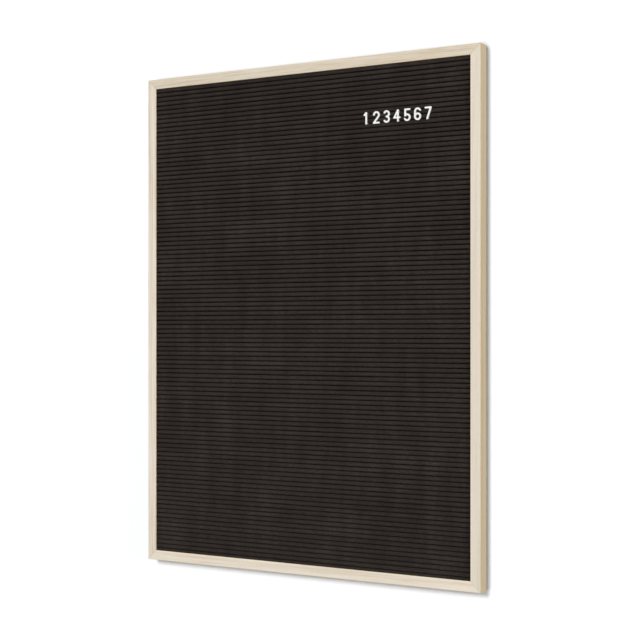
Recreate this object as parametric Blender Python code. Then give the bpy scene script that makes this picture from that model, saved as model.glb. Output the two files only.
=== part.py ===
"""Felt letter board in a mitred wooden frame, hung on a wall from two sawtooth hangers.

Metres, Z up. The front faces -Y and the board is centred on X and Y, with its lower edge at Z 0.
"""

import math

import bmesh
import bpy
from mathutils import Vector

# Frame
BOARD_WIDTH = 0.600
BOARD_HEIGHT = 0.800
FRAME_FACE = 0.0160
FRAME_DEPTH = 0.0220
LIP_WIDTH = 0.0050
LIP_THICKNESS = 0.0024
OUTER_EASE = 0.0011
SIGHT_EASE = 0.0007

# Clearances
SEAT_GAP = 0.0003
PANEL_SIDE_CLEARANCE = 0.0008

# Felt and the slotted board under it
RIB_PITCH = 0.00728
FIRST_GROOVE = 0.0108
LAST_RIB_MIN = 0.0045
SLOT_WIDTH = 0.0015
SLOT_DEPTH = 0.0060
FELT_THICKNESS = 0.0008
RIB_EASE = 0.0009
CORE_THICKNESS = 0.0090

# Back panel and the points that hold it
BACK_PANEL_THICKNESS = 0.0030
POINT_LENGTH = 0.0150
POINT_WIDTH = 0.0080
POINT_THICKNESS = 0.0006
POINT_GRIP = 0.0065
POINT_TIP = 0.0040
POINT_END_DISTANCE = 0.0900
POINTS_ON_SIDE = 4
POINTS_ON_END = 3

# V-shaped nails across the mitres, driven from the back
V_NAIL_LEG = 0.0048
V_NAIL_THICKNESS = 0.0006
V_NAIL_HEIGHT = 0.0100
V_NAIL_HALF_ANGLE = math.radians(52)

# Sawtooth hangers on the back of the top rail
HANGER_OFFSET = 0.1500
HANGER_LENGTH = 0.0480
HANGER_HEIGHT = 0.0086
HANGER_METAL = 0.0008
HANGER_RAISE = 0.0015
HANGER_TAB = 0.0085
HANGER_RAMP = 0.0025
TOOTH_PITCH = 0.0024
TOOTH_DEPTH = 0.0015
TEETH = 9
NAIL_SHANK = 0.0016
NAIL_LENGTH = 0.0110
NAIL_HEAD = 0.0040
NAIL_HEAD_HEIGHT = 0.0008

# Wall bumpers on the back of the bottom rail
BUMPER_DIAMETER = 0.0090
BUMPER_HEIGHT = 0.0023
BUMPER_EDGE = 0.0007
BUMPER_INSET = 0.0300

# Push-in plastic numerals
DIGIT_WIDTH = 0.0112
DIGIT_STROKE = 0.0026
DIGIT_THICKNESS = 0.0020
PRONG_WIDTH = 0.0022
PRONG_THICKNESS = 0.0009
PRONG_LENGTH = 0.0045
PRONG_INSET = 0.0021
DIGIT_ROW = 10
DIGIT_FIRST_X = 0.1120
DIGIT_STEP = 0.0173

# Depths behind the frame's front face
FELT_FRONT = LIP_THICKNESS + SEAT_GAP
CORE_FRONT = FELT_FRONT + FELT_THICKNESS + SEAT_GAP
CORE_BACK = CORE_FRONT + CORE_THICKNESS
PANEL_FRONT = CORE_BACK + SEAT_GAP
PANEL_BACK = PANEL_FRONT + BACK_PANEL_THICKNESS
POINT_FRONT = PANEL_BACK + SEAT_GAP
HANGER_REACH = SEAT_GAP + HANGER_RAISE + HANGER_METAL
BUMPER_REACH = SEAT_GAP + BUMPER_HEIGHT
TOTAL_DEPTH = FRAME_DEPTH + max(HANGER_REACH, BUMPER_REACH)
FRONT_Y = -TOTAL_DEPTH / 2

# Sizes that follow from the ones above
RAIL_BODY = FRAME_FACE - LIP_WIDTH
PANEL_WIDTH = BOARD_WIDTH - 2 * RAIL_BODY - 2 * PANEL_SIDE_CLEARANCE
PANEL_HEIGHT = BOARD_HEIGHT - 2 * RAIL_BODY - 2 * PANEL_SIDE_CLEARANCE
PANEL_TOP = BOARD_HEIGHT - RAIL_BODY - PANEL_SIDE_CLEARANCE
PANEL_BOTTOM = PANEL_TOP - PANEL_HEIGHT
GROOVES = int((PANEL_HEIGHT - FIRST_GROOVE - LAST_RIB_MIN) / RIB_PITCH) + 1
FELT_BEND = RIB_EASE + SEAT_GAP
DIGIT_HEIGHT = 2 * RIB_PITCH + 2 * PRONG_INSET


def clear_scene():
    for obj in list(bpy.data.objects):
        bpy.data.objects.remove(obj, do_unlink=True)


def material(name, colour, roughness, metallic=0.0):
    mat = bpy.data.materials.new(name)
    mat.use_nodes = True
    shader = mat.node_tree.nodes["Principled BSDF"]
    shader.inputs["Base Color"].default_value = (*colour, 1.0)
    shader.inputs["Roughness"].default_value = roughness
    shader.inputs["Metallic"].default_value = metallic
    mat.diffuse_color = (*colour, 1.0)
    return mat


def mesh_of(name, points, faces):
    mesh = bpy.data.meshes.new(name)
    mesh.from_pydata([tuple(p) for p in points], [], faces)
    bm = bmesh.new()
    bm.from_mesh(mesh)
    bmesh.ops.recalc_face_normals(bm, faces=bm.faces)
    bm.to_mesh(mesh)
    bm.free()
    return mesh


def add(name, mesh, mat, location=(0, 0, 0), rotation=(0, 0, 0)):
    obj = bpy.data.objects.new(name, mesh)
    obj.location = location
    obj.rotation_euler = rotation
    if mat and not mesh.materials:
        mesh.materials.append(mat)
    bpy.context.scene.collection.objects.link(obj)
    return obj


def tool(name, mesh, parent):
    """A cutting or joining shape, placed in its target's own axes."""
    obj = add(name, mesh, None)
    obj.parent = parent
    obj.hide_render = True
    obj.display_type = "WIRE"
    return obj


def combine(target, shape, operation):
    step = target.modifiers.new(shape.name, "BOOLEAN")
    step.operation = operation
    step.solver = "EXACT"
    step.object = shape


def shade_smooth(obj, degrees):
    """Round faces shade smooth, and edges sharper than the angle stay crisp."""
    mesh = obj.data
    mesh.shade_smooth()
    bm = bmesh.new()
    bm.from_mesh(mesh)
    for edge in bm.edges:
        if len(edge.link_faces) == 2:
            edge.smooth = edge.calc_face_angle() < math.radians(degrees)
    bm.to_mesh(mesh)
    bm.free()


def arc(centre, radius, start, end, steps):
    """Points on an arc in a plane, both ends included, with angles in degrees."""
    turns = [math.radians(start + (end - start) * i / steps) for i in range(steps + 1)]
    return [(centre[0] + radius * math.cos(a), centre[1] + radius * math.sin(a)) for a in turns]


def prism_parts(outline, low, high, place):
    """Points and faces of an outline pushed from low to high. place turns (u, v, w) into a point."""
    n = len(outline)
    points = [place(u, v, low) for u, v in outline] + [place(u, v, high) for u, v in outline]
    faces = [tuple(range(n)), tuple(range(n, 2 * n))]
    faces += [(i, (i + 1) % n, n + (i + 1) % n, n + i) for i in range(n)]
    return points, faces


def merged(parts):
    """One mesh's points and faces from several closed shapes that don't touch."""
    points, faces = [], []
    for more_points, more_faces in parts:
        start = len(points)
        points += more_points
        faces += [tuple(start + i for i in face) for face in more_faces]
    return points, faces


def box_parts(low, high):
    outline = [(low[0], low[1]), (high[0], low[1]), (high[0], high[1]), (low[0], high[1])]
    return prism_parts(outline, low[2], high[2], lambda u, v, w: (u, v, w))


def turned_parts(profile, steps, place):
    """A closed shape turned about an axis. profile is (radius, height), from axis to axis."""
    inner = profile[1:-1]
    points = [place(0, 0, profile[0][1]), place(0, 0, profile[-1][1])]
    for radius, height in inner:
        for i in range(steps):
            a = 2 * math.pi * (i + 0.5) / steps
            points.append(place(radius * math.cos(a), radius * math.sin(a), height))
    faces = []
    for i in range(steps):
        j = (i + 1) % steps
        faces.append((0, 2 + i, 2 + j))
        last = 2 + (len(inner) - 1) * steps
        faces.append((1, last + j, last + i))
        for ring in range(len(inner) - 1):
            a = 2 + ring * steps
            faces.append((a + i, a + steps + i, a + steps + j, a + j))
    return points, faces


# Frame rails. Each lies along its own X, with its outer face up and its front towards -Y.


def rail_profile():
    """(inset from the outer face, depth behind the front face), round the rebated section."""
    outer = arc((OUTER_EASE, OUTER_EASE), OUTER_EASE, 180, 270, 3)
    sight = arc((FRAME_FACE - SIGHT_EASE, SIGHT_EASE), SIGHT_EASE, 270, 360, 3)
    back = [
        (FRAME_FACE, LIP_THICKNESS),
        (RAIL_BODY, LIP_THICKNESS),
        (RAIL_BODY, FRAME_DEPTH),
        (0, FRAME_DEPTH),
    ]
    return outer + sight + back


def rail_mesh(name, length):
    profile = rail_profile()
    n = len(profile)
    half_gap = SEAT_GAP / 2 * math.sqrt(2)
    points = [(-length / 2 + inset + half_gap, depth, -inset) for inset, depth in profile]
    points += [(length / 2 - inset - half_gap, depth, -inset) for inset, depth in profile]
    faces = [tuple(range(n)), tuple(range(n, 2 * n))]
    faces += [(i, (i + 1) % n, n + (i + 1) % n, n + i) for i in range(n)]
    return mesh_of(name, points, faces)


def v_outline(growth):
    """A V with its apex at 0 and its legs towards +u, each face moved out by growth."""
    half = V_NAIL_THICKNESS / 2 + growth
    along = Vector((math.cos(V_NAIL_HALF_ANGLE), math.sin(V_NAIL_HALF_ANGLE)))
    out = Vector((-along.y, along.x))
    end = along * (V_NAIL_LEG + growth)
    apex = half / math.sin(V_NAIL_HALF_ANGLE)
    leg = [end + out * half, end - out * half]
    upper = [(p.x, p.y) for p in leg]
    lower = [(x, -y) for x, y in reversed(upper)]
    return [(-apex, 0)] + upper + [(apex, 0)] + lower


V_NAIL_APEX = RAIL_BODY * math.sqrt(2) / 2 - V_NAIL_LEG * math.cos(V_NAIL_HALF_ANGLE) / 2


def at_mitre(corner, inward):
    """Places (u, v, depth): u runs in along the mitre from the outer corner, v across it."""
    along = Vector(inward).normalized()
    across = Vector((-along.y, along.x))

    def place(u, v, depth):
        spot = Vector(corner) + along * (V_NAIL_APEX + u) + across * v
        return (spot.x, depth, spot.y)

    return place


def point_places(length, count):
    run = length - 2 * POINT_END_DISTANCE
    return [-run / 2 + run * i / (count - 1) for i in range(count)]


def rail_slots(length, count):
    """The slots in one rail for its framer's points and for half of each V-nail."""
    parts = []
    for x in point_places(length, count):
        half = POINT_WIDTH / 2 + SEAT_GAP
        low = (x - half, POINT_FRONT - SEAT_GAP, -RAIL_BODY - 0.001)
        high = (x + half, POINT_FRONT + POINT_THICKNESS + SEAT_GAP, -RAIL_BODY + POINT_GRIP + SEAT_GAP)
        parts.append(box_parts(low, high))
    for side in (-1, 1):
        place = at_mitre((side * length / 2, 0), (-side, -1))
        slot_top = FRAME_DEPTH - V_NAIL_HEIGHT - SEAT_GAP
        parts.append(prism_parts(v_outline(SEAT_GAP), slot_top, FRAME_DEPTH + 0.001, place))
    return parts


def nail_places():
    """The X of each hanger nail on the top rail."""
    reach = HANGER_LENGTH / 2 - HANGER_TAB / 2
    return [side * HANGER_OFFSET + end * reach for side in (-1, 1) for end in (-1, 1)]


def hanger_middle():
    """How far down the top rail's back the hangers and their nails sit."""
    return RAIL_BODY / 2


def on_rail_back(x, drop, start):
    """Places (u, v, w) with w running back from a depth, at one spot of the top rail."""
    return lambda u, v, w: (x + u, start + w, -drop + v)


def nail_holes():
    radius = NAIL_SHANK / 2 + SEAT_GAP
    deep = SEAT_GAP + HANGER_METAL + SEAT_GAP - NAIL_LENGTH - SEAT_GAP
    profile = [(0, deep), (radius, deep), (radius, 0.001), (0, 0.001)]
    return [
        turned_parts(profile, 12, on_rail_back(x, hanger_middle(), FRAME_DEPTH))
        for x in nail_places()
    ]


def make_rails(wood):
    half_width = BOARD_WIDTH / 2
    half_height = BOARD_HEIGHT / 2
    rails = [
        ("frame_rail_top", BOARD_WIDTH, POINTS_ON_END, (0, FRONT_Y, BOARD_HEIGHT), 0),
        ("frame_rail_bottom", BOARD_WIDTH, POINTS_ON_END, (0, FRONT_Y, 0), 180),
        ("frame_rail_right", BOARD_HEIGHT, POINTS_ON_SIDE, (half_width, FRONT_Y, half_height), 90),
        ("frame_rail_left", BOARD_HEIGHT, POINTS_ON_SIDE, (-half_width, FRONT_Y, half_height), -90),
    ]
    made = {}
    for name, length, count, spot, turn in rails:
        rail = add(name, rail_mesh(name, length), wood, spot, (0, math.radians(turn), 0))
        slots = rail_slots(length, count)
        if name == "frame_rail_top":
            slots += nail_holes()
        cutter = tool("slots_" + name, mesh_of("slots_" + name, *merged(slots)), rail)
        combine(rail, cutter, "DIFFERENCE")
        made[name] = (rail, length, count)
    return made


def make_points(rails, steel):
    """Flat pointed blades, pushed into the rails over the back panel."""
    half = POINT_WIDTH / 2
    tip = -RAIL_BODY + POINT_GRIP
    tail = tip - POINT_LENGTH
    outline = [(-half, tail), (half, tail), (half, tip - POINT_TIP), (0, tip), (-half, tip - POINT_TIP)]
    parts = prism_parts(
        outline, POINT_FRONT, POINT_FRONT + POINT_THICKNESS, lambda u, v, w: (u, w, v)
    )
    blade = mesh_of("framer_point", *parts)
    for name, (rail, length, count) in rails.items():
        side = name.rsplit("_", 1)[1]
        for i, x in enumerate(point_places(length, count), 1):
            point = add(f"framer_point_{side}_{i}", blade, steel)
            point.location = rail.matrix_basis @ Vector((x, 0, 0))
            point.rotation_euler = rail.rotation_euler


def make_v_nails(steel):
    corners = {
        "top_left": ((-BOARD_WIDTH / 2, BOARD_HEIGHT), (1, -1)),
        "top_right": ((BOARD_WIDTH / 2, BOARD_HEIGHT), (-1, -1)),
        "bottom_left": ((-BOARD_WIDTH / 2, 0), (1, 1)),
        "bottom_right": ((BOARD_WIDTH / 2, 0), (-1, 1)),
    }
    back = FRONT_Y + FRAME_DEPTH
    for name, (corner, inward) in corners.items():
        place = at_mitre(corner, inward)
        parts = prism_parts(v_outline(0), back - V_NAIL_HEIGHT, back, place)
        add("v_nail_" + name, mesh_of("v_nail_" + name, *parts), steel)


# Felt, slotted board and back panel


def groove_heights():
    return [PANEL_TOP - FIRST_GROOVE - i * RIB_PITCH for i in range(GROOVES)]


def felt_half_groove():
    """Half of the cloth round a groove, as (front, back) pairs of (depth, height above it)."""
    mouth = SLOT_WIDTH / 2
    outer = FELT_THICKNESS + FELT_BEND
    centre = (outer, mouth + outer)
    front = arc(centre, outer, 180, 270, 3)
    back = arc(centre, FELT_BEND, 180, 270, 3)
    bottom = SLOT_DEPTH + FELT_THICKNESS
    return list(zip(front, back)) + [((SLOT_DEPTH, mouth), (bottom, mouth + FELT_THICKNESS))]


def make_felt(cloth):
    """One cloth that lies on every rib and is tucked down into every groove."""
    pairs = [((0, PANEL_TOP), (FELT_THICKNESS, PANEL_TOP))]
    half = felt_half_groove()
    for height in groove_heights():
        above = [[(depth, height + up) for depth, up in pair] for pair in half]
        below = [[(depth, height - up) for depth, up in pair] for pair in reversed(half)]
        pairs += above + below
    pairs.append(((0, PANEL_BOTTOM), (FELT_THICKNESS, PANEL_BOTTOM)))
    points = []
    for x in (-PANEL_WIDTH / 2, PANEL_WIDTH / 2):
        for pair in pairs:
            points += [(x, FRONT_Y + FELT_FRONT + depth, z) for depth, z in pair]
    n = 2 * len(pairs)
    faces = []
    for i in range(0, n - 2, 2):
        faces.append((i, i + 2, n + i + 2, n + i))
        faces.append((i + 1, i + 3, n + i + 3, n + i + 1))
        faces.append((i, i + 2, i + 3, i + 1))
        faces.append((n + i, n + i + 2, n + i + 3, n + i + 1))
    faces.append((0, 1, n + 1, n))
    faces.append((n - 2, n - 1, 2 * n - 1, 2 * n - 2))
    felt = add("felt_covering", mesh_of("felt_covering", points, faces), cloth)
    shade_smooth(felt, 50)


def make_core(board):
    """The board under the felt, sawn across with one slot for each groove, its ribs eased."""
    half = SLOT_WIDTH / 2 + FELT_THICKNESS + SEAT_GAP
    floor = FELT_FRONT + SLOT_DEPTH + FELT_THICKNESS + SEAT_GAP
    left, right = -PANEL_WIDTH / 2, PANEL_WIDTH / 2
    side = [(CORE_FRONT, half + RIB_EASE), (CORE_FRONT + RIB_EASE, half), (floor, half)]
    outline = [(CORE_BACK, PANEL_TOP), (CORE_FRONT, PANEL_TOP)]
    for height in groove_heights():
        outline += [(depth, height + up) for depth, up in side]
        outline += [(depth, height - up) for depth, up in reversed(side)]
    outline += [(CORE_FRONT, PANEL_BOTTOM), (CORE_BACK, PANEL_BOTTOM)]
    parts = prism_parts(outline, left, right, lambda u, v, w: (w, FRONT_Y + u, v))
    add("slotted_board", mesh_of("slotted_board", *parts), board)


def make_back_panel(board):
    low = (-PANEL_WIDTH / 2, FRONT_Y + PANEL_FRONT, PANEL_BOTTOM)
    high = (PANEL_WIDTH / 2, FRONT_Y + PANEL_BACK, PANEL_TOP)
    add("back_panel", mesh_of("back_panel", *box_parts(low, high)), board)


# Hanging hardware and bumpers


def hanger_strip():
    """The bent strip from above, as (x, distance behind the rail): flat tabs and a raised middle."""
    outer_end = HANGER_LENGTH / 2
    tab_end = outer_end - HANGER_TAB
    ramp_end = tab_end - HANGER_RAMP
    near = [
        (-outer_end, 0),
        (-tab_end, 0),
        (-ramp_end, HANGER_RAISE),
        (ramp_end, HANGER_RAISE),
        (tab_end, 0),
        (outer_end, 0),
    ]
    far = [(x, y + HANGER_METAL) for x, y in reversed(near)]
    return near + far


def make_hangers(steel):
    low = -HANGER_HEIGHT / 2
    strip = prism_parts(hanger_strip(), low, -low, lambda u, v, w: (u, v, w))
    cuts = []
    for i in range(TEETH):
        x = (i - (TEETH - 1) / 2) * TOOTH_PITCH
        notch = [
            (x - TOOTH_PITCH * 0.42, low - 0.001),
            (x - TOOTH_PITCH * 0.42, low),
            (x, low + TOOTH_DEPTH),
            (x + TOOTH_PITCH * 0.42, low),
            (x + TOOTH_PITCH * 0.42, low - 0.001),
        ]
        start, end = HANGER_RAISE - 0.0005, HANGER_RAISE + HANGER_METAL + 0.0005
        cuts.append(prism_parts(notch, start, end, lambda u, v, w: (u, w, v)))
    radius = NAIL_SHANK / 2 + SEAT_GAP
    for side in (-1, 1):
        x = side * (HANGER_LENGTH / 2 - HANGER_TAB / 2)
        hole = [(0, -0.001), (radius, -0.001), (radius, HANGER_METAL + 0.001), (0, HANGER_METAL + 0.001)]
        cuts.append(turned_parts(hole, 12, lambda u, v, w, x=x: (x + u, w, v)))
    for name, side in (("left", -1), ("right", 1)):
        spot = (
            side * HANGER_OFFSET,
            FRONT_Y + FRAME_DEPTH + SEAT_GAP,
            BOARD_HEIGHT - hanger_middle(),
        )
        hanger = add("sawtooth_hanger_" + name, mesh_of("hanger_" + name, *strip), steel, spot)
        cutter = tool("teeth_" + name, mesh_of("teeth_" + name, *merged(cuts)), hanger)
        combine(hanger, cutter, "DIFFERENCE")


def make_nails(steel):
    """Small dome-headed nails, one through each hanger tab into the top rail."""
    shank = NAIL_SHANK / 2
    head = NAIL_HEAD / 2
    seat = SEAT_GAP + HANGER_METAL + SEAT_GAP
    profile = [
        (0, seat - NAIL_LENGTH),
        (shank, seat - NAIL_LENGTH + NAIL_SHANK),
        (shank, seat),
        (head, seat),
        (head * 0.8, seat + NAIL_HEAD_HEIGHT * 0.7),
        (0, seat + NAIL_HEAD_HEIGHT),
    ]
    names = ["left_outer", "left_inner", "right_inner", "right_outer"]
    for name, x in zip(names, nail_places()):
        place = on_rail_back(x, hanger_middle(), FRAME_DEPTH)
        nail = add("hanger_nail_" + name, mesh_of("nail_" + name, *turned_parts(profile, 12, place)), steel)
        nail.location = (0, FRONT_Y, BOARD_HEIGHT)
        shade_smooth(nail, 40)


def make_bumpers(rubber):
    radius = BUMPER_DIAMETER / 2
    profile = [
        (0, 0),
        (radius, 0),
        (radius, BUMPER_HEIGHT - BUMPER_EDGE),
        (radius - BUMPER_EDGE * 0.4, BUMPER_HEIGHT - BUMPER_EDGE * 0.3),
        (radius - BUMPER_EDGE, BUMPER_HEIGHT),
        (0, BUMPER_HEIGHT),
    ]
    parts = turned_parts(profile, 16, lambda u, v, w: (u, w, v))
    for name, side in (("left", -1), ("right", 1)):
        spot = (
            side * (BOARD_WIDTH / 2 - BUMPER_INSET),
            FRONT_Y + FRAME_DEPTH + SEAT_GAP,
            RAIL_BODY / 2,
        )
        bumper = add("wall_bumper_" + name, mesh_of("bumper_" + name, *parts), rubber, spot)
        shade_smooth(bumper, 50)


# Numerals. Each is drawn by the middle of its strokes, a half-width wide and a half-height high.


def ribbon(path, width):
    """The outline of a round-ended stroke of even width along a path."""
    half = width / 2
    spots = [Vector(p) for p in path]
    sides = []
    for i, spot in enumerate(spots):
        before = (spot - spots[i - 1]).normalized() if i else None
        after = (spots[i + 1] - spot).normalized() if i + 1 < len(spots) else None
        ways = [way for way in (before, after) if way]
        normals = [Vector((-way.y, way.x)) for way in ways]
        middle = sum(normals, Vector((0, 0))).normalized()
        sides.append(middle * half / middle.dot(normals[0]))
    left = [spot + side for spot, side in zip(spots, sides)]
    right = [spot - side for spot, side in zip(spots, sides)]
    start = math.degrees(math.atan2(sides[0].y, sides[0].x))
    end = math.degrees(math.atan2(sides[-1].y, sides[-1].x))
    far_cap = arc(spots[-1], half, end, end - 180, 5)[1:-1]
    near_cap = arc(spots[0], half, start + 180, start, 5)[1:-1]
    return [(p.x, p.y) for p in left] + far_cap + [(p.x, p.y) for p in reversed(right)] + near_cap


def strokes(wide, high):
    """For each numeral: its strokes, and where its upper and lower prongs stand."""
    ring = -high + wide
    lobe = high / 2
    stem = 0.45 * wide
    spine = wide * math.cos(math.radians(140))
    shoulder = ring + wide * math.sin(math.radians(140))
    foot = -0.35 * wide
    return {
        "1": ([[(-0.7 * wide, high - 0.7 * wide), (0, high)], [(0, high), (0, -high)]], 0, 0),
        "2": (
            [arc((0, high - wide), wide, 175, -30, 10) + [(-wide, -high)], [(-wide, -high), (wide, -high)]],
            0,
            0,
        ),
        "3": (
            [arc((0, lobe), lobe, 150, -90, 12), arc((0, -lobe), lobe, 90, -150, 12)],
            0,
            0,
        ),
        "4": (
            [
                [(stem, high), (-wide, -0.35 * high)],
                [(-wide, -0.35 * high), (1.1 * wide, -0.35 * high)],
                [(stem, high), (stem, -high)],
            ],
            stem,
            stem,
        ),
        "5": (
            [
                [(spine, high), (0.9 * wide, high)],
                [(spine, high), (spine, shoulder)],
                arc((0, ring), wide, 140, -150, 14),
            ],
            spine,
            0,
        ),
        "6": (
            [
                arc((0, high - wide), wide, 25, 180, 8) + arc((0, ring), wide, 180, 360, 9),
                arc((0, ring), wide, 180, 0, 9),
            ],
            0,
            0,
        ),
        "7": (
            [[(-wide, high), (wide, high)], [(wide, high), (foot, -high)]],
            0,
            foot + (wide - foot) * (DIGIT_HEIGHT / 2 - DIGIT_STROKE / 2 - RIB_PITCH) / (2 * high),
        ),
    }


def make_digits(plastic):
    wide = (DIGIT_WIDTH - DIGIT_STROKE) / 2
    high = (DIGIT_HEIGHT - DIGIT_STROKE) / 2
    back = FRONT_Y + FELT_FRONT - SEAT_GAP
    row = groove_heights()[DIGIT_ROW]
    for i, (digit, (paths, upper, lower)) in enumerate(strokes(wide, high).items()):
        name = "digit_" + digit
        solid = None
        for j, path in enumerate(paths):
            parts = prism_parts(ribbon(path, DIGIT_STROKE), -DIGIT_THICKNESS, 0, lambda u, v, w: (u, w, v))
            mesh = mesh_of(f"{name}_stroke_{j}", *parts)
            if solid is None:
                solid = add(name, mesh, plastic, (DIGIT_FIRST_X + i * DIGIT_STEP, back, row))
            else:
                combine(solid, tool(f"{name}_stroke_{j}", mesh, solid), "UNION")
        for place, x, z in (("upper", upper, RIB_PITCH), ("lower", lower, -RIB_PITCH)):
            half_x, half_z = PRONG_WIDTH / 2, PRONG_THICKNESS / 2
            low = (x - half_x, -DIGIT_THICKNESS / 2, z - half_z)
            high_corner = (x + half_x, PRONG_LENGTH, z + half_z)
            prong = mesh_of(f"{name}_{place}_prong", *box_parts(low, high_corner))
            combine(solid, tool(f"{name}_{place}_prong", prong, solid), "UNION")


def build():
    clear_scene()
    wood = material("pale wood", (0.74, 0.65, 0.52), 0.55)
    cloth = material("black felt", (0.027, 0.022, 0.019), 0.95)
    fibre = material("fibre board", (0.42, 0.31, 0.20), 0.8)
    hard = material("hardboard", (0.25, 0.15, 0.08), 0.6)
    zinc = material("zinc plated steel", (0.62, 0.62, 0.60), 0.35, 1.0)
    brass = material("brassed steel", (0.70, 0.55, 0.28), 0.35, 1.0)
    rubber = material("grey rubber", (0.30, 0.30, 0.30), 0.7)
    plastic = material("white plastic", (0.90, 0.90, 0.89), 0.35)
    rails = make_rails(wood)
    make_points(rails, zinc)
    make_v_nails(zinc)
    make_felt(cloth)
    make_core(fibre)
    make_back_panel(hard)
    make_hangers(brass)
    make_nails(brass)
    make_bumpers(rubber)
    make_digits(plastic)


build()
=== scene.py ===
"""Felt letter board on a wall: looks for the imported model, in its own frame."""

import math

import bmesh
import bpy
from mathutils import Matrix, Vector, noise


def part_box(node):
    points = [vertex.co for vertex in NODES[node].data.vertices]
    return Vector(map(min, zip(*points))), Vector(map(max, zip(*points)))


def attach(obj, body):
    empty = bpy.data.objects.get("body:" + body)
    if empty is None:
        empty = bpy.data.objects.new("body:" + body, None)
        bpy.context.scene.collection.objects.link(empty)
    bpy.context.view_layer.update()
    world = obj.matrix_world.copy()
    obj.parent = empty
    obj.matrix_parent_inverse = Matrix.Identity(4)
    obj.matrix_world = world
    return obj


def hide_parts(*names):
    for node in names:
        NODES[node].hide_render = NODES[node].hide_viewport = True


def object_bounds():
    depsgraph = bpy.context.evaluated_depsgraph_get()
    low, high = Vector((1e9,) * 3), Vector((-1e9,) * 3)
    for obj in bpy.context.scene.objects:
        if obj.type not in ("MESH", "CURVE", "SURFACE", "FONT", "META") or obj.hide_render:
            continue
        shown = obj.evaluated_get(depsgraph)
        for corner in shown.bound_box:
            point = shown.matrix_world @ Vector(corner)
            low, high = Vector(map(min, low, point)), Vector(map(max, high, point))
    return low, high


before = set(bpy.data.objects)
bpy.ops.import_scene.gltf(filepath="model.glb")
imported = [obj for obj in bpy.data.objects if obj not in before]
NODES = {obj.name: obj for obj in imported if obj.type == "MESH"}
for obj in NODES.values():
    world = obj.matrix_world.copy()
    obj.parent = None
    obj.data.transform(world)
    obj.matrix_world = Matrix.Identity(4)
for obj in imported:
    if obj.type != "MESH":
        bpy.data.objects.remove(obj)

CAD_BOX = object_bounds()

# Sizes shared with the solids, in metres
RIB_PITCH = 0.00728
FIRST_GROOVE = 0.0108
LAST_RIB_MIN = 0.0045
SLOT_WIDTH = 0.0015
SLOT_DEPTH = 0.0060
FELT_THICKNESS = 0.0008
FELT_BEND = 0.0012
FRAME_FACE = 0.0160
FRAME_DEPTH = 0.0220
LIP_WIDTH = 0.0050
LIP_THICKNESS = 0.0024
OUTER_EASE = 0.0011
SIGHT_EASE = 0.0007
DIGIT_WIDTH = 0.0112
DIGIT_STROKE = 0.0026
DIGIT_THICKNESS = 0.0020
PRONG_WIDTH = 0.0022
PRONG_THICKNESS = 0.0009
PRONG_LENGTH = 0.0045
PRONG_INSET = 0.0021
DIGIT_FIRST_X = 0.1120
DIGIT_STEP = 0.0173
DIGIT_HEIGHT = 2 * RIB_PITCH + 2 * PRONG_INSET

# Sizes of what the scene adds, in metres
FELT_COLUMNS = 37
FELT_SWAY = 0.00016
MOUTH_WAVER = 0.00020
RIB_SWELL = 0.00006
RIB_FACE_DEPTH = 0.001
DIGIT_EDGE = 0.00030
GLUE_THICKNESS = 0.00018
GLUE_INSET = 0.0001
NOTCH_FROM_MIDDLE = 0.0015
NOTCH_HALF_WIDTH = 0.0010
NOTCH_FRONT = 0.0114
SCREEN_PITCH = 0.0014
WALL_GAP = 0.0006

# The rails: grain direction, tone, place in the grain, strength of the figure
RAILS = (
    # the top rail's lower tone is painted shade, for less light at the top
    ("frame_rail_top", "X", (0.900, 0.889, 0.857), 0.0, 1.6),
    ("frame_rail_bottom", "X", (1.050, 1.056, 1.062), 3.7, 1.1),
    ("frame_rail_left", "Z", (1.034, 1.031, 1.060), 8.2, 1.4),
    ("frame_rail_right", "Z", (0.983, 0.987, 1.000), 12.9, 0.42),
)
LATE_WOOD = (0.625, 0.515, 0.375)
MIDDLE_WOOD = (0.742, 0.658, 0.540)
EARLY_WOOD = (0.790, 0.715, 0.605)
MIDDLE_FIGURE = 0.48

# The camera, fitted to the corners of the frame in the photograph
CAMERA_TURN = math.radians(29.853)
CAMERA_AWAY = 2.11426
CAMERA_ASIDE = 0.02726
CAMERA_BELOW = 0.0198
FOCAL_PIXELS = 1353.94
SHIFT_PIXELS = 11.6
PICTURE_PIXELS = 640
SENSOR_WIDTH = 36.0

BOARD_MIDDLE = (0, 0, 0.4)
SQUARE = ((-1, -1), (1, -1), (1, 1), (-1, 1))


def corner(node, high):
    low_corner, high_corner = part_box(node)
    return Vector(high_corner if high else low_corner)


def quarter(steps):
    """The angles of a quarter turn."""
    return [math.pi / 2 * i / steps for i in range(steps + 1)]


# Node trees. A link is (node, output), and space is a link to a place in the object.


def plug(tree, node, sockets):
    """Sets or links a node's sockets."""
    for name, value in sockets.items():
        if isinstance(value, tuple) and isinstance(value[0], bpy.types.Node):
            tree.links.new(value[0].outputs[value[1]], node.inputs[name])
        else:
            node.inputs[name].default_value = value


def put(tree, kind, settings=None, sockets=None):
    """A new node, with its settings and its sockets."""
    made = tree.nodes.new(kind)
    for name, value in (settings or {}).items():
        setattr(made, name, value)
    plug(tree, made, sockets or {})
    return made


def new_material(name):
    mat = bpy.data.materials.new(name)
    mat.use_nodes = True
    tree = mat.node_tree
    return mat, tree, tree.nodes["Principled BSDF"]


def maths(tree, operation, *values):
    return put(tree, "ShaderNodeMath", {"operation": operation}, dict(enumerate(values)))


def vector_maths(tree, operation, *values):
    sockets = dict(enumerate(values))
    return put(tree, "ShaderNodeVectorMath", {"operation": operation}, sockets), 0


def shared(tree, first, share, second):
    """Two values in one, where the first has this share."""
    rest = maths(tree, "MULTIPLY", second, 1 - share)
    return maths(tree, "MULTIPLY_ADD", first, share, (rest, 0))


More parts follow.
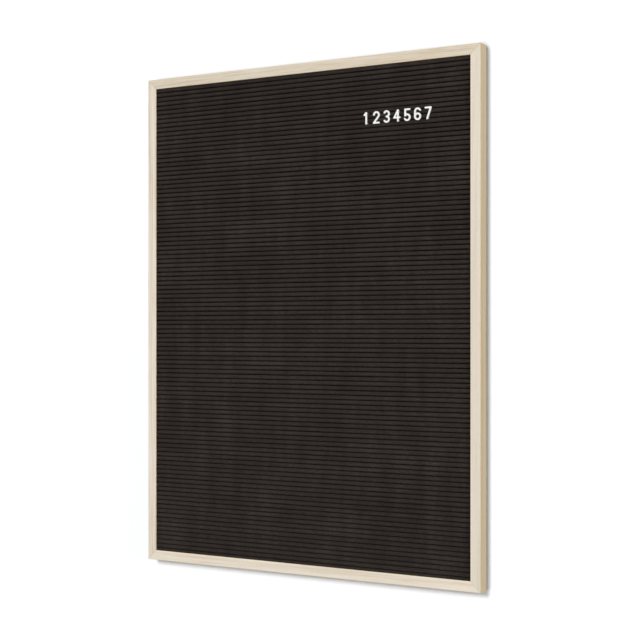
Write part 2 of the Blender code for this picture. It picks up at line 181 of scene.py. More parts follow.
def spread(tree, source, low, high, to_low=0.0, to_high=1.0):
    """A value moved from one range to another, and held inside it."""
    sockets = {"Value": source, "From Min": low, "From Max": high}
    sockets.update({"To Min": to_low, "To Max": to_high})
    return put(tree, "ShaderNodeMapRange", {"clamp": True}, sockets)


def ramp(tree, source, *stops):
    made = put(tree, "ShaderNodeValToRGB", None, {"Fac": source})
    line = made.color_ramp
    while len(line.elements) < len(stops):
        line.elements.new(0.5)
    for element, (place, colour) in zip(line.elements, stops):
        element.position = place
        element.color = (*colour, 1.0)
    return made


def blend(tree, kind, factor, a, b):
    """A mix of two colours, which comes out of output 2."""
    sockets = {0: factor, 6: a, 7: b}
    return put(tree, "ShaderNodeMix", {"data_type": "RGBA", "blend_type": kind}, sockets)


def times(tree, a, b):
    return blend(tree, "MULTIPLY", 1.0, a, b)


def object_space(tree):
    return put(tree, "ShaderNodeTexCoord"), "Object"


def grain_space(tree, along, shift):
    """The object's space as (along the grain, across it, depth), shifted so that pieces differ."""
    parts = put(tree, "ShaderNodeSeparateXYZ", None, {"Vector": object_space(tree)})
    run, across = ("X", "Z") if along == "X" else ("Z", "X")
    moved = maths(tree, "ADD", (parts, run), shift)
    sockets = {"X": (moved, 0), "Y": (parts, across), "Z": (parts, "Y")}
    return put(tree, "ShaderNodeCombineXYZ", None, sockets), 0


def stretched_noise(tree, space, scale, detail, rough=0.5, distortion=0.0):
    """Noise in a space that is scaled differently along each axis."""
    sockets = {"Vector": vector_maths(tree, "MULTIPLY", space, scale), "Scale": 1.0}
    sockets.update({"Detail": detail, "Roughness": rough, "Distortion": distortion})
    return put(tree, "ShaderNodeTexNoise", {"noise_dimensions": "3D"}, sockets)


def bump(tree, height, strength, distance, under=None):
    sockets = {"Height": height, "Strength": strength, "Distance": distance}
    if under:
        sockets["Normal"] = (under, "Normal")
    return put(tree, "ShaderNodeBump", None, sockets)


# Materials


def wood(name, along, tone, shift, sight, strength):
    """Pale straight-grained wood, warmer and darker on faces turned from the front, partly its own
    edge tone and partly painted shade, with a painted highlight along its sight edge.
    """
    mat, tree, shader = new_material(name)
    space = grain_space(tree, along, shift)
    wander = stretched_noise(tree, space, (5.0, 25.0, 25.0), 2.0)
    drift = maths(tree, "MULTIPLY", (wander, "Fac"), 0.004)
    drifted = put(tree, "ShaderNodeCombineXYZ", None, {"Y": (drift, 0), "Z": (drift, 0)})
    bent = vector_maths(tree, "ADD", space, (drifted, 0))
    rings = stretched_noise(tree, bent, (7.0, 620.0, 620.0), 3.0, 0.55)
    lines = stretched_noise(tree, bent, (26.0, 1900.0, 1900.0), 3.0, 0.6)
    broad = stretched_noise(tree, bent, (2.2, 110.0, 110.0), 2.0)
    pores = stretched_noise(tree, bent, (150.0, 4200.0, 4200.0), 1.0)
    streaks = stretched_noise(tree, bent, (3.5, 300.0, 300.0), 2.0)

    both = shared(tree, (rings, "Fac"), 0.62, (lines, "Fac"))
    marked = maths(tree, "MULTIPLY_ADD", (both, 0), strength, MIDDLE_FIGURE * (1 - strength))
    late, middle, early = (
        tuple(c * t for c, t in zip(shade, tone)) for shade in (LATE_WOOD, MIDDLE_WOOD, EARLY_WOOD)
    )
    figure = ramp(tree, (marked, 0), (0.34, late), (0.47, middle), (0.62, early))
    cloud = ramp(
        tree,
        (broad, "Fac"),
        (0.30, (0.90, 0.88, 0.84)),
        (0.52, (1.0, 1.0, 1.0)),
        (0.75, (1.03, 1.03, 1.03)),
    )
    hue = ramp(
        tree,
        (streaks, "Fac"),
        (0.36, (1.012, 0.980, 0.972)),
        (0.50, (1.0, 1.0, 1.0)),
        (0.64, (0.990, 1.010, 0.985)),
    )
    clouded = times(tree, (figure, "Color"), (cloud, "Color"))
    hued = times(tree, (clouded, 2), (hue, "Color"))
    open_pore = spread(tree, (pores, "Fac"), 0.26, 0.38, 0.80, 1.0)
    pored = times(tree, (hued, 2), (open_pore, 0))

    # Faces turned from the front are made warmer and darker: partly the wood's own edge tone,
    # partly painted shade for sides that get less light.
    facing = put(tree, "ShaderNodeTexCoord")
    normal = put(tree, "ShaderNodeSeparateXYZ", None, {"Vector": (facing, "Normal")})
    face = maths(tree, "ABSOLUTE", (normal, "Y"))
    edge = spread(tree, (face, 0), 0.2, 0.9, 1.0, 0.0)
    edge_tone_and_shade = blend(tree, "MULTIPLY", (edge, 0), (pored, 2), (0.985, 0.880, 0.665, 1.0))
    # painted highlight: the wood is made paler within about a millimetre of the sight edge, as if
    # its rounded arris caught the light
    place = put(tree, "ShaderNodeSeparateXYZ", None, {"Vector": (facing, "Object")})
    inset = maths(tree, "SUBTRACT", (place, "Z" if along == "X" else "X"), sight)
    from_sight = maths(tree, "ABSOLUTE", (inset, 0))
    painted_sight_highlight = spread(tree, (from_sight, 0), 0.0006, 0.0017, 1.09, 1.0)
    sight_highlighted = times(tree, (edge_tone_and_shade, 2), (painted_sight_highlight, 0))

    gloss = spread(tree, (both, 0), 0.3, 0.7, 0.62, 0.46)
    fine = bump(tree, (both, 0), 0.35, 0.00012)
    pitted = bump(tree, (open_pore, 0), 0.4, 0.00008, fine)
    sockets = {"Base Color": (sight_highlighted, 2), "Roughness": (gloss, 0), "Normal": (pitted, 0)}
    plug(tree, shader, {**sockets, "Specular IOR Level": 0.35})
    return mat


def glue():
    """Dried wood glue, with the dust of the wood worked into it."""
    mat, tree, shader = new_material("dried_wood_glue")
    dust = stretched_noise(tree, object_space(tree), (700.0, 700.0, 700.0), 4.0, 0.6)
    colour = ramp(tree, (dust, "Fac"), (0.35, (0.60, 0.51, 0.37)), (0.65, (0.74, 0.66, 0.52)))
    dull = spread(tree, (dust, "Fac"), 0.3, 0.7, 0.45, 0.7)
    rough = bump(tree, (dust, "Fac"), 0.3, 0.00005)
    sockets = {"Base Color": (colour, "Color"), "Roughness": (dull, 0), "Normal": (rough, 0)}
    plug(tree, shader, sockets)
    return mat


def felt():
    """Black pressed wool: matted fibres, a faint pile and some paler lint."""
    mat, tree, shader = new_material("black_pressed_felt")
    space = object_space(tree)
    matted = stretched_noise(tree, space, (900.0, 900.0, 900.0), 6.0, 0.7, 1.4)
    strands_a = stretched_noise(tree, space, (380.0, 2600.0, 2600.0), 3.0, 0.6, 2.0)
    strands_b = stretched_noise(tree, space, (2600.0, 700.0, 420.0), 3.0, 0.6, 2.0)
    crossed = maths(tree, "MAXIMUM", (strands_a, "Fac"), (strands_b, "Fac"))
    pile = shared(tree, (matted, "Fac"), 0.55, (crossed, 0))
    fibre = ramp(
        tree,
        (pile, 0),
        (0.36, (0.0145, 0.0111, 0.0093)),
        (0.52, (0.0290, 0.0223, 0.0189)),
        (0.70, (0.0560, 0.0449, 0.0390)),
    )

    # painted shade near the top, which is darker where less light falls, and cloudy at four sizes
    height = put(tree, "ShaderNodeSeparateXYZ", None, {"Vector": space})
    shade = spread(tree, (height, "Z"), 0.66, 0.78, 1.01, 0.90)
    for scale, detail, rough, weak, strong in (
        ((9.0, 9.0, 14.0), 3.0, 0.5, 0.90, 1.10),
        ((38.0, 9.0, 7.0), 3.0, 0.55, 0.80, 1.20),
        ((5.0, 1.0, 120.0), 2.0, 0.55, 0.84, 1.16),
        ((240.0, 240.0, 420.0), 3.0, 0.55, 0.72, 1.28),
    ):
        nap = stretched_noise(tree, space, scale, detail, rough)
        toned = spread(tree, (nap, "Fac"), 0.3, 0.7, weak, strong)
        shade = maths(tree, "MULTIPLY", (shade, 0), (toned, 0))
    shaded = times(tree, (fibre, "Color"), (shade, 0))

    # curled hairs that lie along and across the grooves
    curl = stretched_noise(tree, space, (600.0, 600.0, 600.0), 2.0, 0.5)
    curled = vector_maths(tree, "MULTIPLY_ADD", (curl, "Color"), (0.0022, 0.0022, 0.0022), space)
    strands = []
    for long_way in ((110.0, 300.0, 620.0), (560.0, 300.0, 130.0)):
        sized = vector_maths(tree, "MULTIPLY", curled, long_way)
        sockets = {"Vector": sized, "Scale": 1.0, "Randomness": 1.0}
        specks = put(tree, "ShaderNodeTexVoronoi", {"feature": "F1"}, sockets)
        strands.append((spread(tree, (specks, "Distance"), 0.05, 0.09, 1.0, 0.0), 0))
    lint = maths(tree, "MAXIMUM", *strands)
    thin = maths(tree, "MULTIPLY", (lint, 0), 0.30)
    linted = blend(tree, "MIX", (thin, 0), (shaded, 2), (0.15, 0.14, 0.13, 1.0))

    dull = spread(tree, (pile, 0), 0.3, 0.7, 1.0, 0.88)
    raised = bump(tree, (pile, 0), 0.8, 0.00035)
    sockets = {"Base Color": (linted, 2), "Roughness": (dull, 0), "Normal": (raised, 0)}
    sockets.update({"Sheen Weight": 0.03, "Sheen Roughness": 0.6})
    sockets.update({"Sheen Tint": (0.9, 0.86, 0.82, 1.0), "Specular IOR Level": 0.06})
    plug(tree, shader, sockets)
    return mat


def fibre_board():
    """Pressed wood fibre, layered through its depth."""
    mat, tree, shader = new_material("sawn_fibre_board")
    space = object_space(tree)
    specks = stretched_noise(tree, space, (1300.0, 1300.0, 1300.0), 5.0, 0.7)
    layers = stretched_noise(tree, space, (30.0, 1500.0, 30.0), 3.0, 0.6)
    mixed = shared(tree, (specks, "Fac"), 0.6, (layers, "Fac"))
    colour = ramp(
        tree,
        (mixed, 0),
        (0.35, (0.30, 0.20, 0.12)),
        (0.5, (0.43, 0.31, 0.20)),
        (0.66, (0.55, 0.42, 0.29)),
    )
    rough = bump(tree, (mixed, 0), 0.5, 0.0002)
    sockets = {"Base Color": (colour, "Color"), "Roughness": 0.85, "Normal": (rough, 0)}
    plug(tree, shader, sockets)
    return mat


def hardboard():
    """Brown pressed board, with the mark of the wire screen on its rough side."""
    mat, tree, shader = new_material("screened_hardboard")
    space = object_space(tree)
    parts = put(tree, "ShaderNodeSeparateXYZ", None, {"Vector": space})
    waves = []
    for axis in ("X", "Z"):
        turned = maths(tree, "MULTIPLY", (parts, axis), 2 * math.pi / SCREEN_PITCH)
        waves.append((maths(tree, "SINE", (turned, 0)), 0))
    screen = maths(tree, "MULTIPLY", *waves)
    pressed = spread(tree, (screen, 0), -1.0, 1.0)
    fibres = stretched_noise(tree, space, (420.0, 420.0, 420.0), 6.0, 0.72, 1.0)
    stains = stretched_noise(tree, space, (6.0, 6.0, 9.0), 4.0, 0.55)
    mixed = shared(tree, (fibres, "Fac"), 0.8, (pressed, 0))
    colour = ramp(
        tree,
        (mixed, 0),
        (0.34, (0.13, 0.070, 0.036)),
        (0.5, (0.25, 0.145, 0.078)),
        (0.7, (0.40, 0.26, 0.155)),
    )
    tone = ramp(tree, (stains, "Fac"), (0.3, (0.86, 0.84, 0.82)), (0.7, (1.08, 1.07, 1.05)))
    toned = times(tree, (colour, "Color"), (tone, "Color"))
    dull = spread(tree, (mixed, 0), 0.3, 0.7, 0.82, 0.6)
    marks = bump(tree, (pressed, 0), 0.45, 0.00012)
    rough = bump(tree, (fibres, "Fac"), 0.5, 0.0002, marks)
    sockets = {"Base Color": (toned, 2), "Roughness": (dull, 0), "Normal": (rough, 0)}
    plug(tree, shader, sockets)
    return mat


def metal(name, dark, light, smoothest, roughest, cells_per_metre):
    """Plated stamped steel: faint plating cells, fine drawn scratches and dulled patches."""
    mat, tree, shader = new_material(name)
    space = object_space(tree)
    sockets = {"Vector": space, "Scale": cells_per_metre}
    cells = put(tree, "ShaderNodeTexVoronoi", {"feature": "F1"}, sockets)
    scratches = stretched_noise(tree, space, (120.0, 6000.0, 6000.0), 3.0, 0.6)
    patches = stretched_noise(tree, space, (300.0, 300.0, 300.0), 4.0, 0.6)
    shades = put(tree, "ShaderNodeSeparateColor", None, {"Color": (cells, "Color")})
    mixed = shared(tree, (patches, "Fac"), 0.65, (shades, 0))
    colour = ramp(tree, (mixed, 0), (0.25, dark), (0.75, light))
    dull = spread(tree, (patches, "Fac"), 0.3, 0.7, smoothest, roughest)
    drawn = bump(tree, (scratches, "Fac"), 0.12, 0.00005)
    sockets = {"Base Color": (colour, "Color"), "Roughness": (dull, 0), "Normal": (drawn, 0)}
    plug(tree, shader, {**sockets, "Metallic": 1.0})
    return mat


def rubber():
    """Grey moulded rubber with dust in its pores."""
    mat, tree, shader = new_material("soft_grey_rubber")
    space = object_space(tree)
    fine = stretched_noise(tree, space, (1800.0, 1800.0, 1800.0), 4.0, 0.6)
    dust = stretched_noise(tree, space, (260.0, 260.0, 260.0), 4.0, 0.65)
    colour = ramp(tree, (dust, "Fac"), (0.35, (0.24, 0.24, 0.24)), (0.7, (0.40, 0.395, 0.385)))
    dull = spread(tree, (dust, "Fac"), 0.3, 0.7, 0.55, 0.8)
    rough = bump(tree, (fine, "Fac"), 0.3, 0.0001)
    sockets = {"Base Color": (colour, "Color"), "Roughness": (dull, 0), "Normal": (rough, 0)}
    plug(tree, shader, sockets)
    return mat


def white_plastic():
    """Moulded white plastic with a faint flow mark and finger dulling."""
    mat, tree, shader = new_material("moulded_white_plastic")
    space = object_space(tree)
    flow = stretched_noise(tree, space, (90.0, 90.0, 260.0), 3.0, 0.5, 0.6)
    grain = stretched_noise(tree, space, (3800.0, 3800.0, 3800.0), 2.0, 0.5)
    grey, pale = (0.855, 0.843, 0.826), (0.885, 0.875, 0.860)
    colour = ramp(tree, (flow, "Fac"), (0.3, grey), (0.7, pale))
    dull = spread(tree, (flow, "Fac"), 0.3, 0.7, 0.30, 0.42)
    rough = bump(tree, (grain, "Fac"), 0.12, 0.00004)
    sockets = {"Base Color": (colour, "Color"), "Roughness": (dull, 0), "Normal": (rough, 0)}
    plug(tree, shader, sockets)
    return mat


# Pieces


def dress(node, mat):
    mesh = NODES[node].data
    mesh.materials.clear()
    mesh.materials.append(mat)


def mesh_from(bm, name):
    """A mesh from what bmesh holds, with its faces turned outwards."""
    bmesh.ops.recalc_face_normals(bm, faces=bm.faces)
    mesh = bpy.data.meshes.new(name)
    bm.to_mesh(mesh)
    bm.free()
    return mesh


def add(mesh):
    obj = bpy.data.objects.new(mesh.name, mesh)
    bpy.context.scene.collection.objects.link(obj)
    return obj


def felt_profile():
    """Half a groove's cloth from the rib's face to the middle of the floor: (depth, height)."""
    mouth = SLOT_WIDTH / 2
    outer = FELT_THICKNESS + FELT_BEND
    shoulder = [
        (outer - outer * math.cos(a), mouth + outer - outer * math.sin(a)) for a in quarter(5)
    ]
    foot = [
        (SLOT_DEPTH - mouth + mouth * math.sin(a), mouth * math.cos(a)) for a in quarter(3)[:-1]
    ]
    return shoulder + foot


def felt_back():
    """The same half groove on the cloth's back, with fewer points."""
    mouth = SLOT_WIDTH / 2 + FELT_THICKNESS
    floor = SLOT_DEPTH + FELT_THICKNESS
    return [
        (FELT_THICKNESS, mouth + FELT_BEND),
        (FELT_THICKNESS + FELT_BEND, mouth),
        (floor, mouth),
    ]


def felt_rows(low, high, grooves):
    """The rows of the cloth from the top down, and where its face and back meet at the edges.

    A row of the face is (depth, height, number of its groove, side of it), and one of the back
    is (depth, height). A stop is (row of the face, row of the back).
    """
    half_front, half_back = felt_profile(), felt_back()
    rows, back_rows, stops = [(0.0, high.z, None, 0)], [(FELT_THICKNESS, high.z)], [(0, 0)]
    for number, middle in enumerate(grooves):
        stops.append((len(rows), len(back_rows)))
        rows += [(d, middle + u, number, 1) for d, u in half_front]
        rows += [(SLOT_DEPTH, middle, number, 0)]
        rows += [(d, middle - u, number, -1) for d, u in reversed(half_front)]
        back_rows += [(d, middle + u) for d, u in half_back]
        back_rows += [(d, middle - u) for d, u in reversed(half_back)]
        stops.append((len(rows) - 1, len(back_rows) - 1))
    stops.append((len(rows), len(back_rows)))
    rows.append((0.0, low.z, None, 0))
    back_rows.append((FELT_THICKNESS, low.z))
    return rows, back_rows, stops


def waver(x, z, depth, number, side):
    """How far a point on the cloth's face lies from the even profile."""
    sway = noise.noise(Vector((x * 14, number * 3.7, 1.3))) * FELT_SWAY
    mouth = noise.noise(Vector((x * 31, number * 2.9, 8.1))) * MOUTH_WAVER
    swell = noise.noise(Vector((x * 55, z * 160, 4.4))) * RIB_SWELL
    return Vector((0, swell if depth < RIB_FACE_DEPTH else 0, sway + side * mouth))


def make_felt(mat):
    """One cloth over every rib and into every groove, uneven as a hand-tucked felt is."""
    low, high = corner("felt_covering", False), corner("felt_covering", True)
    grooves = []
    height = high.z - FIRST_GROOVE
    while height > low.z + LAST_RIB_MIN - 1e-6:
        grooves.append(height)
        height -= RIB_PITCH
    rows, back_rows, stops = felt_rows(low, high, grooves)
    last = FELT_COLUMNS - 1
    xs = [low.x + (high.x - low.x) * i / last for i in range(FELT_COLUMNS)]

    bm = bmesh.new()
    grid = []
    for depth, z, number, side in rows:
        line = []
        for i, x in enumerate(xs):
            free = number is not None and 0 < i < last
            shift = waver(x, z, depth, number, side) if free else Vector((0, 0, 0))
            line.append(bm.verts.new(Vector((x, low.y + depth, z)) + shift))
        grid.append(line)
    back = [
        [bm.verts.new((x, low.y + depth, z)) for x in (xs[0], xs[-1])] for depth, z in back_rows
    ]
    for upper, lower in zip(grid, grid[1:]):
        for i in range(last):
            bm.faces.new((upper[i], upper[i + 1], lower[i + 1], lower[i]))
    for upper, lower in zip(back, back[1:]):
        bm.faces.new((upper[1], upper[0], lower[0], lower[1]))
    bm.faces.new(grid[0] + [back[0][1], back[0][0]])
    bm.faces.new(grid[-1][::-1] + [back[-1][0], back[-1][1]])
    for column, end in ((0, 0), (last, 1)):
        face_edge = [line[column] for line in grid]
        back_edge = [pair[end] for pair in back]
        for (top, back_top), (foot, back_foot) in zip(stops, stops[1:]):
            ring = face_edge[top : foot + 1] + back_edge[back_top : back_foot + 1][::-1]
            bm.faces.new(ring if end else ring[::-1])
    mesh = mesh_from(bm, "felt_cloth")
    mesh.shade_smooth()
    mesh.materials.append(mat)
    cloth = add(mesh)
    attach(cloth, "root")
    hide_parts("felt_covering")


def arc(centre, radius, start, end, steps):
    turns = [math.radians(start + (end - start) * i / steps) for i in range(steps + 1)]
    return [(centre[0] + radius * math.cos(a), centre[1] + radius * math.sin(a)) for a in turns]


def ribbon(path, width):
    """The outline of a round-ended stroke of even width along a path."""
    half = width / 2
    spots = [Vector(p) for p in path]
    sides = []
    for i, spot in enumerate(spots):
        before = (spot - spots[i - 1]).normalized() if i else None
        after = (spots[i + 1] - spot).normalized() if i + 1 < len(spots) else None
        normals = [Vector((-way.y, way.x)) for way in (before, after) if way]
        middle = sum(normals, Vector((0, 0))).normalized()
        sides.append(middle * half / middle.dot(normals[0]))
    left = [tuple(spot + side) for spot, side in zip(spots, sides)]
    right = [tuple(spot - side) for spot, side in zip(spots, sides)]
    start = math.degrees(math.atan2(sides[0].y, sides[0].x))
    end = math.degrees(math.atan2(sides[-1].y, sides[-1].x))
    far_cap = arc(spots[-1], half, end, end - 180, 16)[1:-1]
    near_cap = arc(spots[0], half, start + 180, start, 16)[1:-1]
    return left + far_cap + right[::-1] + near_cap


def strokes(wide, high):
    """For each numeral: the middle of its strokes, and where its upper and lower prongs stand."""
    ring = -high + wide
    lobe = high / 2
    stem = 0.45 * wide
    spine = wide * math.cos(math.radians(140))
    shoulder = ring + wide * math.sin(math.radians(140))
    bar = -0.35 * high
    foot = -0.35 * wide
    slope = (DIGIT_HEIGHT / 2 - DIGIT_STROKE / 2 - RIB_PITCH) / (2 * high)
    crook = arc((0, high - wide), wide, 175, -30, 40) + [(-wide, -high)]
    hook = arc((0, high - wide), wide, 25, 180, 30) + arc((0, ring), wide, 180, 360, 36)
    one = [[(-0.7 * wide, high - 0.7 * wide), (0, high)], [(0, high), (0, -high)]]
    two = [crook, [(-wide, -high), (wide, -high)]]
    three = [arc((0, lobe), lobe, 150, -90, 44), arc((0, -lobe), lobe, 90, -150, 44)]
    four = [
        [(stem, high), (-wide, bar)],
        [(-wide, bar), (1.1 * wide, bar)],
        [(stem, high), (stem, -high)],
    ]
    five = [
        [(spine, high), (0.9 * wide, high)],
        [(spine, high), (spine, shoulder)],
        arc((0, ring), wide, 140, -150, 50),
    ]
    six = [hook, arc((0, ring), wide, 180, 0, 36)]
    seven = [[(-wide, high), (wide, high)], [(wide, high), (foot, -high)]]
    return {
        "1": (one, 0, 0),
        "2": (two, 0, 0),
        "3": (three, 0, 0),
        "4": (four, stem, stem),
        "5": (five, spine, 0),
        "6": (six, 0, 0),
        "7": (seven, 0, foot + (wide - foot) * slope),
    }


def prism(outline, low, high):
    """A closed solid: an outline in (x, z), pushed from low to high in y."""
    n = len(outline)
    bm = bmesh.new()
    near, far = ([bm.verts.new((u, y, v)) for u, v in outline] for y in (low, high))
    bm.faces.new(near)
    bm.faces.new(far)
    for i in range(n):
        j = (i + 1) % n
        bm.faces.new((near[i], near[j], far[j], far[i]))
    return add(mesh_from(bm, "prism"))


def joined(parts, name):
    """One mesh from overlapping solids, which are then removed."""
    whole = parts[0]
    for part in parts[1:]:
        step = whole.modifiers.new("join", "BOOLEAN")
        step.operation = "UNION"
        step.solver = "EXACT"
        step.object = part
    evaluated = whole.evaluated_get(bpy.context.evaluated_depsgraph_get())
    mesh = bpy.data.meshes.new_from_object(evaluated)
    mesh.name = name
    for part in parts:
        bpy.data.objects.remove(part)
    return mesh


def make_digits(mat):
    """The numerals again with finer curves and moulded edges, each where its solid is."""
    wide = (DIGIT_WIDTH - DIGIT_STROKE) / 2
    high = (DIGIT_HEIGHT - DIGIT_STROKE) / 2
    back = corner("digit_7", False).y + DIGIT_THICKNESS
    row = corner("digit_7", True).z - DIGIT_HEIGHT / 2
    for i, (digit, (paths, upper, lower)) in enumerate(strokes(wide, high).items()):
        parts = [prism(ribbon(path, DIGIT_STROKE), -DIGIT_THICKNESS, 0) for path in paths]
        for x, z in ((upper, RIB_PITCH), (lower, -RIB_PITCH)):
            sides = [(x + a * PRONG_WIDTH / 2, z + b * PRONG_THICKNESS / 2) for a, b in SQUARE]
            parts.append(prism(sides, -DIGIT_THICKNESS / 2, PRONG_LENGTH))
        mesh = joined(parts, "numeral_" + digit)
        mesh.transform(Matrix.Translation((DIGIT_FIRST_X + i * DIGIT_STEP, back, row)))
        mesh.materials.clear()
        mesh.materials.append(mat)
        numeral = add(mesh)
        soften(numeral, DIGIT_EDGE, 3, 50)
        smooth(numeral, 40)
        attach(numeral, "root")
        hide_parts("digit_" + digit)


def soften(obj, width, segments, angle):
    """A small radius on a piece's sharp edges, as moulding leaves."""
    step = obj.modifiers.new("edges", "BEVEL")
    step.width = width
    step.segments = segments
    step.limit_method = "ANGLE"
    step.angle_limit = math.radians(angle)
    step.harden_normals = False


def smoothing(angle):
    """A modifier tree that shades a solid smooth, apart from edges sharper than the angle."""
    tree = bpy.data.node_groups.new("smooth_%d" % angle, "GeometryNodeTree")
    for way in ("INPUT", "OUTPUT"):
        tree.interface.new_socket("Geometry", in_out=way, socket_type="NodeSocketGeometry")
    start = put(tree, "NodeGroupInput")
    bend = put(tree, "GeometryNodeInputMeshEdgeAngle")
    sharp = maths(tree, "GREATER_THAN", (bend, "Unsigned Angle"), math.radians(angle))
    faces = put(tree, "GeometryNodeSetShadeSmooth", {"domain": "FACE"}, {"Geometry": (start, 0)})
    sockets = {"Geometry": (faces, 0), "Selection": (sharp, 0), "Shade Smooth": False}
    edges = put(tree, "GeometryNodeSetShadeSmooth", {"domain": "EDGE"}, sockets)
    put(tree, "NodeGroupOutput", None, {"Geometry": (edges, 0)})
    return tree


def smooth(obj, angle):
    tree = bpy.data.node_groups.get("smooth_%d" % angle) or smoothing(angle)
    obj.modifiers.new("smooth", "NODES").node_group = tree
    obj.modifiers.new("flat_faces", "WEIGHTED_NORMAL").keep_sharp = True


def rail_section(inset):
    """A rail's outline as (distance from the outer face, depth), drawn in by an inset.

    It has a notch from the back for the V-nail that crosses the mitre.
    """
    outer = [
        (OUTER_EASE - OUTER_EASE * math.cos(a), OUTER_EASE - OUTER_EASE * math.sin(a))
        for a in quarter(3)
    ]
    sight = [
        (FRAME_FACE - SIGHT_EASE + SIGHT_EASE * math.sin(a), SIGHT_EASE - SIGHT_EASE * math.cos(a))
        for a in quarter(3)
    ]
    front = [(min(max(d, inset), FRAME_FACE - inset), max(y, inset)) for d, y in outer + sight]
    body = FRAME_FACE - LIP_WIDTH
    nail = (body * math.sqrt(2) / 2 - NOTCH_FROM_MIDDLE) / math.sqrt(2)
    back = FRAME_DEPTH - inset
    return front + [
        (FRAME_FACE - inset, LIP_THICKNESS - inset),
        (body - inset, LIP_THICKNESS - inset),
        (body - inset, back),
        (nail + NOTCH_HALF_WIDTH, back),
        (nail + NOTCH_HALF_WIDTH, NOTCH_FRONT),
        (nail - NOTCH_HALF_WIDTH, NOTCH_FRONT),
        (nail - NOTCH_HALF_WIDTH, back),
        (inset, back),
    ]


def make_mitre_glue(mat):
    """The line of wood glue that fills each mitre, just below the faces of the rails."""
    low, high = corner("frame_rail_bottom", False), corner("frame_rail_top", True)
    outline = rail_section(GLUE_INSET)
    for name, x, z, out_x, out_z in (
        ("top_left", low.x, high.z, 1, -1),
        ("top_right", high.x, high.z, -1, -1),
        ("bottom_left", low.x, low.z, 1, 1),
        ("bottom_right", high.x, low.z, -1, 1),
    ):
        aside = Vector((out_z, 0, -out_x)).normalized() * (GLUE_THICKNESS / 2)
        spots = [Vector((x + out_x * d, low.y + y, z + out_z * d)) for d, y in outline]
        bm = bmesh.new()
        one, other = ([bm.verts.new(spot + aside * way) for spot in spots] for way in (-1, 1))
        bm.faces.new(one)
        bm.faces.new(other[::-1])
        for i in range(len(spots)):
            j = (i + 1) % len(spots)
            bm.faces.new((one[j], one[i], other[i], other[j]))
        mesh = mesh_from(bm, "mitre_glue_" + name)
        mesh.materials.append(mat)
        line = add(mesh)
        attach(line, "root")


def make_pieces():
    for name, along, tone, shift, strength in RAILS:
        inner_is_high = name.endswith(("bottom", "left"))
        sight = getattr(corner(name, inner_is_high), "z" if along == "X" else "x")
        dress(name, wood(name + "_wood", along, tone, shift, sight, strength))
        smooth(NODES[name], 40)
    make_mitre_glue(glue())
    make_felt(felt())
    dress("slotted_board", fibre_board())
    dress("back_panel", hardboard())
    zinc = metal("zinc_plated_steel", (0.46, 0.47, 0.48), (0.72, 0.72, 0.71), 0.28, 0.5, 900.0)
    brass = metal("brassed_steel", (0.62, 0.46, 0.22), (0.76, 0.60, 0.32), 0.22, 0.42, 5200.0)
    grey = rubber()
    for name in NODES:
        if name.startswith(("framer_point", "v_nail")):
            dress(name, zinc)
        elif name.startswith(("sawtooth_hanger", "hanger_nail")):
            dress(name, brass)
            smooth(NODES[name], 40)
        elif name.startswith("wall_bumper"):
            dress(name, grey)
            smooth(NODES[name], 50)
    make_digits(white_plastic())


# Stage, lights and camera


def looked_at(tree):
    """1 for what the camera sees, also in a gloss or through glass, and 0 for other rays."""
    path = put(tree, "ShaderNodeLightPath")
    seen = maths(tree, "MAXIMUM", (path, "Is Camera Ray"), (path, "Is Glossy Ray"))
    return maths(tree, "MAXIMUM", (seen, 0), (path, "Is Transmission Ray"))


def white_stage(name, colour, glow, reach, one_sided):
    """White for the camera, with a painted contact shadow from ambient occlusion within reach of
    the object. One side may be clear.
    """
    mat = bpy.data.materials.new(name)
    mat.use_nodes = True
    tree = mat.node_tree
    tree.nodes.clear()
    # painted shadow: ambient occlusion darkens the colour and the glow near the object
    near = put(tree, "ShaderNodeAmbientOcclusion", {"samples": 12}, {"Distance": reach})
    open_sky = spread(tree, (near, "AO"), 0.40, 1.0, 0.32, 1.0)
    tint = times(tree, (*colour, 1.0), (open_sky, 0))
    surface = put(tree, "ShaderNodeBsdfDiffuse", None, {"Color": (tint, 2)})
    glowing = maths(tree, "MULTIPLY", (looked_at(tree), 0), glow)
    glowing = maths(tree, "MULTIPLY", (glowing, 0), (open_sky, 0))
    light = put(tree, "ShaderNodeEmission", None, {"Strength": (glowing, 0)})
    both = put(tree, "ShaderNodeAddShader", None, {0: (surface, 0), 1: (light, 0)})
    if one_sided:
        facing = put(tree, "ShaderNodeNewGeometry")
        clear = put(tree, "ShaderNodeBsdfTransparent")
        sockets = {0: (facing, "Backfacing"), 1: (both, 0), 2: (clear, 0)}
        both = put(tree, "ShaderNodeMixShader", None, sockets)
    put(tree, "ShaderNodeOutputMaterial", None, {"Surface": (both, 0)})
    return mat


def plane(name, centre, across, up, mat):
    centre, across, up = Vector(centre), Vector(across), Vector(up)
    corners = [centre + across * a + up * b for a, b in SQUARE]
    mesh = bpy.data.meshes.new(name)
    mesh.from_pydata([tuple(c) for c in corners], [], [(0, 1, 2, 3)])
    mesh.materials.append(mat)
    obj = add(mesh)
    return obj


def make_stage():
    """The wall that the board hangs on, clear from behind and lighting nothing, and a floor."""
    wall_y = CAD_BOX[1][1] + WALL_GAP
    wall_white = white_stage("wall_white", (0.94, 0.965, 1.0), 0.125, 0.011, True)
    wall = plane("wall", (0, wall_y, 1.1), (3.0, 0, 0), (0, 0, 2.0), wall_white)
    wall.visible_shadow = False
    wall.visible_diffuse = False
    wall.visible_glossy = False
    wall.visible_transmission = False
    floor_white = white_stage("floor_white", (0.55, 0.55, 0.55), 0.66, 0.009, False)
    plane("floor", (0, 0, -0.9), (9.0, 0, 0), (0, 9.0, 0), floor_white)


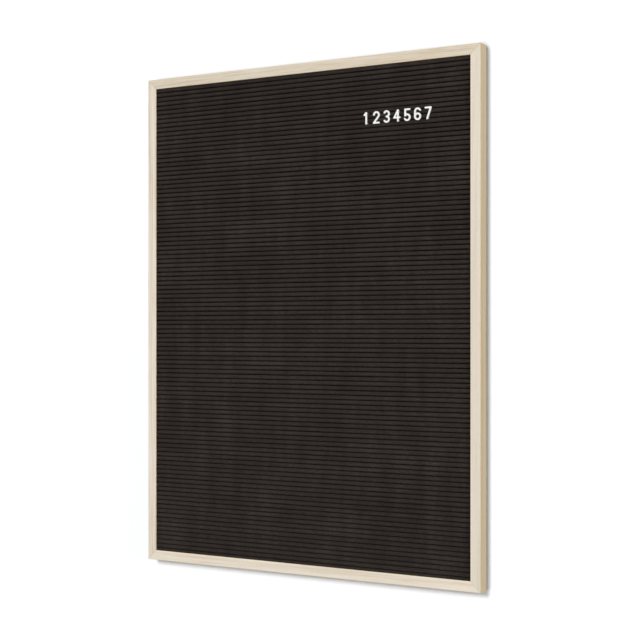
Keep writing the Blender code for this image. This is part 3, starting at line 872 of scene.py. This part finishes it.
def lamp(name, place, size, power):
    """A square lamp that faces the middle of the board."""
    data = bpy.data.lights.new(name, "AREA")
    data.shape = "SQUARE"
    data.size = size
    data.energy = power
    obj = bpy.data.objects.new(name, data)
    obj.location = place
    way = Vector(BOARD_MIDDLE) - Vector(place)
    obj.rotation_euler = way.to_track_quat("-Z", "Y").to_euler()
    bpy.context.scene.collection.objects.link(obj)


def make_lights():
    lamp("key", (-1.3, -12.0, 5.0), 3.8, 1022)
    lamp("right_fill", (3.0, -0.6, 0.8), 1.6, 33)
    lamp("back_fill", (-1.0, 3.0, 1.8), 2.0, 52)
    world = bpy.data.worlds.new("studio")
    world.use_nodes = True
    tree = world.node_tree
    tree.nodes.clear()
    level = spread(tree, (looked_at(tree), 0), 0.0, 1.0, 0.30, 1.0)
    sky = put(tree, "ShaderNodeBackground", None, {"Color": (1, 1, 1, 1), "Strength": (level, 0)})
    put(tree, "ShaderNodeOutputWorld", None, {"Surface": (sky, 0)})
    bpy.context.scene.world = world


def make_camera():
    """Level, a little below the board's middle, 2.1 m off and turned 30 degrees to its right."""
    right = Vector((math.cos(CAMERA_TURN), math.sin(CAMERA_TURN), 0))
    ahead = Vector((-math.sin(CAMERA_TURN), math.cos(CAMERA_TURN), 0))
    middle = Vector((0, CAD_BOX[0][1], (CAD_BOX[0][2] + CAD_BOX[1][2]) / 2))
    below = Vector((0, 0, CAMERA_BELOW))
    data = bpy.data.cameras.new("camera")
    data.sensor_width = SENSOR_WIDTH
    data.lens = FOCAL_PIXELS / PICTURE_PIXELS * SENSOR_WIDTH
    data.shift_y = SHIFT_PIXELS / PICTURE_PIXELS
    data.clip_start = 0.01
    obj = bpy.data.objects.new("camera", data)
    obj.location = middle + right * CAMERA_ASIDE - ahead * CAMERA_AWAY - below
    obj.rotation_euler = (math.pi / 2, 0, CAMERA_TURN)
    bpy.context.scene.collection.objects.link(obj)
    bpy.context.scene.camera = obj


make_pieces()
make_stage()
make_lights()
make_camera()
bpy.context.scene.view_settings.view_transform = "Standard"
